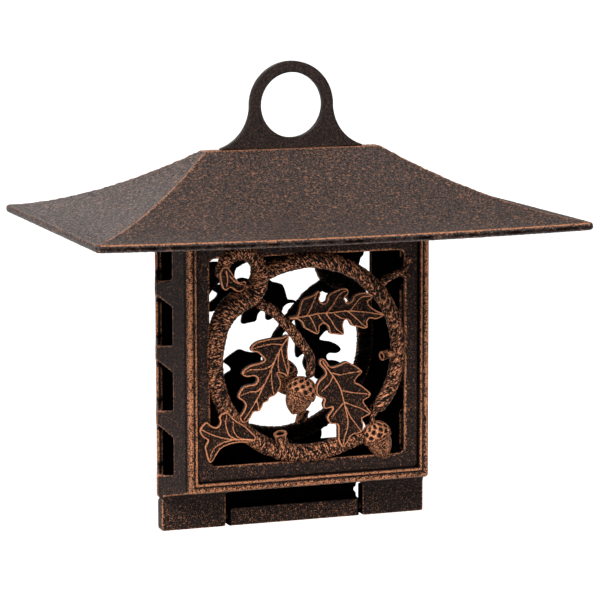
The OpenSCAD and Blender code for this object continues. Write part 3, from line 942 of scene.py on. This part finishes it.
def leaf(shape, outline, veins, y_face, bend=0.006, arch=0.0, lift=0.6, pitch=0.34):
    """Cast leaf with a raised border and raised veins, draped over the vine. Its first vein
    is the spine, which the blade bends and arches from."""
    edge = smooth_path(outline, 0.45, closed=True)
    low, high = edge.min(0) - pitch, edge.max(0) + pitch
    gx, gz = (np.arange(a, b + pitch, pitch) for a, b in zip(low, high))
    flat = np.stack(np.meshgrid(gx, gz, indexing="ij"), -1).reshape(-1, 2)
    within = inside(flat, edge)
    ring = np.concatenate([edge, edge[:1]])
    gap, _, foot = rail(flat, ring)
    quads = grid(len(gx), len(gz))
    quads = quads[within[quads].any(1)]
    used = np.unique(quads)
    snap = ~within | (gap < 0.3 * pitch)
    flat = np.where(snap[:, None], foot, flat)
    gap = np.where(snap, 0.0, gap)
    remap = np.full(len(flat), -1)
    remap[used] = np.arange(len(used))
    quads, flat, gap = remap[quads], flat[used], gap[used]
    raised = np.zeros(len(flat))
    shine = np.zeros(len(flat))
    for k, vein in enumerate(veins):
        path = smooth_path(vein, 0.8)
        away, along, _ = rail(flat, path)
        strong = (1.0 if k == 0 else 0.82) * (1 - 0.35 * along)
        width = 0.52 * strong
        raised = np.maximum(raised, lift * 1.25 * strong * bell(away, width))
        shine = np.maximum(shine, bell(away, 0.85 * width))
        if k == 0:
            spine_gap, spine_along = away, along
    raised = np.maximum(raised, lift * bell(gap, 0.40, 0.45))
    shine = np.maximum(shine, bell(gap, 0.40, 0.38))
    hollow = 0.35 * ramp(gap, 0.6, 2.5) * ramp(spine_gap, 0.5, 2.5)
    y = y_face + bend * spine_gap**2 - arch * np.sin(math.pi * spine_along)
    rounded = 0.3 * np.exp(-gap / 0.2)
    y = y + hollow + 0.10 * noise_over(90, *flat.T / 1.4, 0.0) - raised + rounded
    cover = vine_face(flat)
    over = WREATH_Y - cover - 0.7 - raised + rounded
    y = np.where(cover > 0, np.minimum(y, over), y)
    back = np.minimum(np.maximum(y + raised + 0.6, y_face + 2.7), WREATH_BACK_Y - 0.2)
    sheets = [np.stack([flat[:, 0], depth, flat[:, 1] + MID_Z], 1) for depth in (y, back)]
    n = len(flat)
    # wall between the two sheets, along the edges that only one quad has
    pairs = sides(quads)
    _, first, count = np.unique(np.sort(pairs, 1), axis=0, return_index=True, return_counts=True)
    rim = pairs[first[count == 1]]
    wall = np.stack([rim[:, 0], rim[:, 1], rim[:, 1] + n, rim[:, 0] + n], 1)
    faces = np.concatenate([quads[:, ::-1], quads + n, wall])
    # the blade's tone varies at random; painted shade darkens it beside the raised veins and border, and
    # darkens the back sheet fully
    haze = 0.22 * noise_over(91, *flat.T / 0.9, 0.0) - 0.16
    beside = ramp(shine, 0.02, 0.2) * (1 - ramp(shine, 0.2, 0.5))
    rub = np.where(shine > 0.3, 1.5 * shine, haze - 0.9 * beside)
    rub = np.concatenate([np.clip(rub, -1, 1.4), np.full(n, -0.9)])
    shape.add(np.concatenate(sheets), faces, rub)


def acorn(shape, rim, angle, cup_r, cup_h, nut_r, nut_l):
    """Flattened acorn seen from the side: knobbly cup above the rim, smooth nut below it."""
    s = np.concatenate([
        -cup_h * np.cos(np.linspace(0, math.pi / 2, 40, endpoint=False)),
        np.linspace(0, 1.1, 6), np.linspace(1.3, nut_l, 44),
    ])
    cup = cup_r * np.clip(1 - (np.clip(-s, 0, None) / cup_h) ** 2.3, 0, 1) ** 0.5
    t = np.clip((s - 1.2) / (nut_l - 1.2), 0, 1)
    nut = nut_r * np.clip(1 - t**2.1, 0, 1) ** 0.75
    nut = np.maximum(nut, 0.9 * np.sqrt(np.clip(1 - ((t - 0.96) / 0.06) ** 2, 0, 1)))
    radius = np.where(s <= 0, cup, np.where(s <= 1.1, cup_r * (1 - 0.03 * s), nut))
    a = turns(88)
    # two crossing sets of ten spirals, 4.6 mm apart along the acorn, leave a raised net
    turn, climb = 10 * a[None], 2 * math.pi / 4.6 * s[:, None]
    knob = (0.5 + 0.5 * np.cos(turn + climb)) * (0.5 + 0.5 * np.cos(turn - climb))
    net = (1 - np.sqrt(knob)) ** 1.5
    in_cup = (ramp(-s, 0.4, 1.0) * ramp(radius, 1.0, 3.0))[:, None]
    on_rim = bell(s, 0.6, 0.35)[:, None]
    fine = noise_over(70, s[:, None] / 4, a[None] * 5, 0.0)
    in_nut = ramp(s, 1.2, 1.6)[:, None]
    r = radius[:, None] + 0.7 * (net - 0.3) * in_cup + 0.25 * on_rim + 0.07 * fine * in_nut
    down = np.array([math.cos(angle), math.sin(angle)])
    across = np.array([-down[1], down[0]])
    place = np.array(rim) + s[:, None, None] * down
    place = place + (r * np.cos(a))[..., None] * across
    depth_y = np.minimum(-25.6 - 0.74 * r * np.sin(a), WREATH_BACK_Y - 0.4)
    points = np.stack([place[..., 0], depth_y, place[..., 1] + MID_Z], -1).reshape(-1, 3)
    # copper on the cup's raised net, its rim, the nut and its tip; painted shade in the pits between the
    # net
    rub = (2.0 * net - 0.5) * in_cup + 0.6 * on_rim + (0.42 + 0.25 * fine) * in_nut
    rub = rub + 0.6 * bell(t, 0.08, 1.0)[:, None] * in_nut
    shape.add_rings(points, len(s), np.clip(rub, -1, 1).reshape(-1))


LEAF_UPPER = (
    [(-10.5, 21.6), (-7, 22.2), (-6, 24), (-5, 27.5), (-3.6, 30.3), (-1, 31.3), (2, 32.2), (4.6, 34.2),
     (6, 32.5), (5.2, 29.8), (6.6, 28), (9, 28.6), (10, 31.5), (13, 33.4), (17.5, 34.8), (20.6, 34.2),
     (20.6, 31.6), (18.7, 29.6), (20, 27.4), (22.4, 28.2), (24, 30.8), (27, 31.9), (31, 31.8),
     (34, 30.4), (33.6, 28.6), (31.5, 27.2), (32.5, 25), (36, 22.6), (40, 20.6), (39, 19), (35.5, 18),
     (32.3, 18.6), (31, 17), (31.3, 14.2), (29.3, 13.4), (26.5, 14.4), (22.8, 15.3), (21, 18),
     (19, 18.6), (18, 16), (18.8, 12), (18, 10.7), (14.5, 11.2), (11, 12), (9.8, 15.5), (7.6, 17.2),
     (5.4, 16), (5.2, 12.6), (3.8, 12), (0.5, 13.6), (-3, 15.8), (-4.4, 18.6), (-7, 20.2),
     (-10.5, 20.4)],
    [[(-10.5, 20.9), (-3, 21.6), (4, 22.6), (12, 22.8), (20, 23.2), (30, 22), (39.6, 20)],
     [(-2, 21.9), (0.6, 25.5), (2.4, 29.5), (4.6, 33.4)],
     [(8.5, 22.8), (12, 26), (14.5, 30), (17, 32.3), (20.3, 33.6)],
     [(21.5, 23.2), (24.5, 26.5), (28, 29.6), (33.4, 30)],
     [(-0.5, 21.8), (1.5, 18.8), (3, 15.5), (4.2, 12.8)],
     [(8.5, 22.4), (11.5, 18.6), (14, 14.6), (18, 11.4)],
     [(20.5, 22.8), (24.5, 19.5), (28, 16.2), (30.6, 14.2)], [(4.5, 21.8), (6.6, 19), (8.2, 17.6)],
     [(13, 22), (16.5, 19.8), (18.8, 19.2)]],
)
LEAF_LEFT = (
    [(-11.2, 12.4), (-15, 11.6), (-20, 11.3), (-25, 10.6), (-28.4, 9.6), (-31, 7.2), (-30.6, 5.2),
     (-27.6, 4.4), (-25.4, 2.4), (-24.2, 0.4), (-27, -0.8), (-31, -1.6), (-34.6, -3.6), (-36, -6),
     (-33.6, -7.6), (-29.6, -7.4), (-28, -9), (-29.2, -11.2), (-32.4, -11.6), (-35.4, -12.6),
     (-37.6, -15.4), (-38, -18), (-35.6, -19.8), (-34.4, -22), (-35.6, -25), (-37.6, -28),
     (-36.4, -30.4), (-33.6, -30.6), (-31.6, -28.6), (-30, -25.8), (-27, -25.4), (-25.4, -23.4),
     (-24.6, -21.4), (-22.4, -20.6), (-21.4, -18.8), (-18.8, -18), (-16.6, -15.6), (-15.4, -12.4),
     (-16, -9.4), (-17.4, -6.6), (-14.4, -7.2), (-11.8, -8.8), (-11, -6), (-11.2, -1.6), (-11.8, 4),
     (-11.4, 8)],
    [[(-11.6, 11.4), (-14.6, 7.6), (-17.6, 2.6), (-20.6, -4), (-24, -11), (-28, -18.4), (-32, -25),
      (-35.4, -29.6)],
     [(-14.6, 7.8), (-20, 8.4), (-25, 7.6), (-30.2, 6.4)],
     [(-18.2, 1), (-21, -2.6), (-25.6, -4.2), (-31, -4), (-35.2, -5.6)],
     [(-24.6, -12), (-28, -15), (-32, -15.4), (-36.8, -16.8)],
     [(-15.4, 6.4), (-14, 0), (-12.6, -4.4), (-11.6, -8)], [(-20.8, -5), (-20.4, -11), (-19.4, -17.4)],
     [(-16.6, 3.8), (-17, -2), (-16.4, -5.8)], [(-28.6, -19.6), (-27.6, -22.4), (-27.4, -24.8)]],
)
LEAF_RIGHT = (
    [(5.2, -1.2), (7.4, -0.6), (9, -2.2), (11.2, -4.8), (15.5, -4.2), (19.4, -2.8), (22.8, -4.2),
     (26.8, -6.8), (28.4, -8.9), (25.6, -11.2), (24.2, -13.4), (27, -15), (30.6, -17.8), (33.1, -20.3),
     (31.8, -22.2), (28.9, -23.8), (31, -27), (33.2, -30.4), (29.6, -32), (28.2, -33.2), (28.9, -36),
     (27.9, -39.6), (22.6, -41), (20.2, -43.6), (16.8, -46.3), (15.2, -44), (15, -39), (14.6, -35.2),
     (10.8, -34.2), (9, -30.8), (10.6, -28.4), (11.8, -26), (8, -26.4), (7, -24), (7.6, -21.6),
     (4.6, -20), (3.2, -16.6), (4.6, -12), (8, -9), (7.6, -6.4), (5.2, -3.4)],
    [[(6.8, -2.2), (10, -6.8), (13, -11), (16, -16.4), (17.6, -22), (19, -28), (20.2, -33.6), (19.4, -39),
      (17, -45)],
     [(11.6, -8), (16, -9.3), (21, -8.8), (27.4, -8.4)],
     [(16.8, -17.4), (22, -18.8), (27, -19.6), (32, -20.6)],
     [(18.4, -23.6), (23, -25.6), (27.4, -27.4), (32.4, -30.4)],
     [(19, -26), (21.4, -31), (24.4, -35), (27.4, -39)], [(17.6, -24), (14.6, -27.4), (11.6, -31)],
     [(12, -10), (10, -14), (6.2, -17.4)]],
)
LEAF_CORNER = (
    [(-29.6, -38.6), (-32, -35), (-36, -31.4), (-39, -29.6), (-41.4, -27.6), (-45, -24.3),
     (-48.2, -26.6), (-48, -29.6), (-49.6, -31.8), (-52.4, -31), (-55, -29), (-57.4, -30.6),
     (-58.8, -33.4), (-57, -36.6), (-54.6, -38.4), (-56, -41.4), (-55.4, -45), (-53.6, -49.8),
     (-51.6, -49.2), (-49.8, -46), (-47.4, -43), (-43, -41.2), (-38, -40.6), (-33, -40.8)],
    [[(-30, -39.4), (-35, -39.2), (-42, -38.6), (-48, -37.2), (-53, -35.2), (-58, -32.6)],
     [(-34.4, -39.2), (-38.6, -37.8), (-41, -34), (-41.6, -29.4)],
     [(-39, -38.9), (-43, -36.6), (-44.8, -32), (-44.9, -26)],
     [(-41, -38.8), (-47, -40.2), (-51.4, -43), (-53.2, -48.6)]],
)
LEAF_CURLED = (
    [(-47.6, 45.6), (-47.2, 41.5), (-46.2, 38.2), (-44.4, 36.8), (-42.4, 38), (-40.8, 37.6),
     (-39.2, 36.2), (-37, 35.9), (-34.6, 37.4), (-33.4, 40.2), (-34.6, 41.2), (-37.2, 40.8),
     (-39.6, 43.2), (-41.8, 46.6), (-43.4, 48.6), (-46, 48.6)],
    [[(-44.4, 46.8), (-43.6, 43), (-44, 38.8)], [(-42.4, 44), (-39, 40.6), (-35, 39.2)]],
)


# thin webs behind the vine: in both halves, and in the rear half only
WEBS = (
    [(-53.2, -12), (-53.2, -35), (-40, -34), (-44, -22), (-47.6, -12)],
    [(-46.5, 47), (-42.5, 52.5), (-37, 54), (-31.5, 52), (-35.6, 49.2), (-38, 46.2), (-38.6, 42),
     (-38.6, 38.4), (-45, 39)],
    [(-35, 31), (-31, 25), (-25.5, 25.8), (-26, 31)],
    [(-10, -53.3), (-23, -53.3), (-23, -45.5), (-10, -47.5)],
)
REAR_WEBS = (
    [(-9, 48), (-8.5, 43), (0, 42), (9, 43), (9.5, 48)],
    [(-42, 50), (-42, 42.5), (-31, 42), (-30.5, 50)],
    [(14, -53.3), (29, -53.3), (29, -48.5), (14, -49.5)],
    [(29.5, 43.4), (38.5, 43.4), (39, 35), (32, 37)],
)


def build_wreath(name, body, turned):
    vine = Shape()
    for outline in WEBS + (REAR_WEBS if turned else ()):
        web(vine, outline)
    arch_y = ([0, 6, 20, 400], [-23.6, -24.2, -25.0, -25.0])
    tube(vine, LOOP, 0.34, 66, math.radians(74), 0.26, seed=1)
    tube(vine, ARCH, 0.36, 60, math.radians(40), 0.28, y=arch_y, seed=2)
    tube(vine, STALK, 0.42, 42, math.radians(32), 0.28, y=-25.6, seed=3)
    cut_branch(vine, (46.5, -25.6, 0.2), (39.0, -27.6, -1.2), 2.1, 4)
    cut_branch(vine, (-13.6, -25.4, -46), (-15.8, -27.4, -37.6), 3.0, 5)
    for seed, (knots, around, depth, y) in enumerate(TWIGS, 6):
        tube(vine, knots, 0.45, around, 0.3, depth, y=y, seed=seed)
    vine.build(name + "_vine", wreath_finish, body, turned)

    leaves = Shape()
    leaf(leaves, *LEAF_UPPER, -27.6, bend=0.008, arch=0.5)
    leaf(leaves, *LEAF_LEFT, -27.6, bend=0.007, arch=0.6)
    leaf(leaves, *LEAF_RIGHT, -28.0, bend=0.006, arch=0.6)
    leaf(leaves, *LEAF_CORNER, -28.4, bend=0.006, arch=0.3)
    leaf(leaves, *LEAF_CURLED, -28.4, bend=0.01, pitch=0.3, lift=0.5)
    leaves.build(name + "_leaves", wreath_finish, body, turned)

    acorns = Shape()
    acorn(acorns, (-4.5, -18.8), math.radians(-113), 8.0, 9.6, 7.0, 10.6)
    acorn(acorns, (37.3, -43.6), math.radians(-67), 7.6, 8.6, 6.6, 12.2)
    acorns.build(name + "_acorns", wreath_finish, body, turned)


# ---------- make the object ----------
build_roof()
build_hanger()
build_pan("front_pan", front_hinge_parts(), "front_door", False, ("front_half",))
build_pan("rear_pan", rear_parts(), "hung_body", True, ("rear_half",))
build_wreath("front_wreath", "front_door", False)
build_wreath("rear_wreath", "hung_body", True)

for node, obj in frame["nodes"].items():
    coated = node in ("latch_button", "latch_keeper", "hinge_pin")
    finish = plate_finish if coated else steel_finish
    obj.data.materials.clear()
    obj.data.materials.append(finish)


# ---------- floor, light and camera ----------
def plain(name, colour, rough):
    """Matt paint with a very faint, broad shading."""
    n = Nodes(name)
    fine = n.grain(900.0, 2.0)
    shade = tuple(0.985 * c for c in colour)
    n.shade({"Base Color": n.mix(fine, shade, colour), "Roughness": rough})
    return n.material


FLOOR_HALF, FLOOR_Z = 60.0, -1.1
floor_mesh = bpy.data.meshes.new("floor")
corners = [(FLOOR_HALF * x, FLOOR_HALF * y, FLOOR_Z) for x, y in ((-1, -1), (1, -1), (1, 1), (-1, 1))]
floor_mesh.from_pydata(corners, [], [(0, 1, 2, 3)])
floor_mesh.materials.append(plain("pale_floor", (0.93, 0.93, 0.93), 0.9))
floor = placed("floor", floor_mesh)

world = bpy.data.worlds.new("studio")
world.use_nodes = True
sky = world.node_tree.nodes["Background"].inputs
sky["Color"].default_value = (1, 1, 1, 1)
sky["Strength"].default_value = 0.45
bpy.context.scene.world = world
bpy.context.scene.view_settings.view_transform = "Standard"


def soft_sun(name, towards, spread, strength):
    light = bpy.data.lights.new(name, "SUN")
    light.angle = math.radians(spread)
    light.energy = strength
    placed(name, light).rotation_euler = Vector(towards).to_track_quat("Z", "Y").to_euler()


soft_sun("key", (-0.55, -0.75, 0.85), 30, 4.0)
soft_sun("back", (0.0, 0.93, 0.40), 24, 0.34)

AZIMUTH, ELEVATION, ROLL = math.radians(19.378), math.radians(8.468), math.radians(0.14)
DISTANCE, AIM_RIGHT, AIM_Z = 1.4422, 0.004316, -0.10017
aim = Vector((AIM_RIGHT * math.cos(AZIMUTH), -AIM_RIGHT * math.sin(AZIMUTH), AIM_Z))
back = Vector((
    -math.sin(AZIMUTH) * math.cos(ELEVATION),
    -math.cos(AZIMUTH) * math.cos(ELEVATION),
    math.sin(ELEVATION),
))
lens = bpy.data.cameras.new("camera")
lens.sensor_width = 36.0
lens.lens = 168.94
lens.clip_end = 200.0
camera = placed("camera", lens)
camera.location = aim + back * DISTANCE
turn = back.to_track_quat("Z", "Y").to_matrix() @ Matrix.Rotation(-ROLL, 3, "Z")
camera.rotation_euler = turn.to_euler()
bpy.context.scene.camera = camera
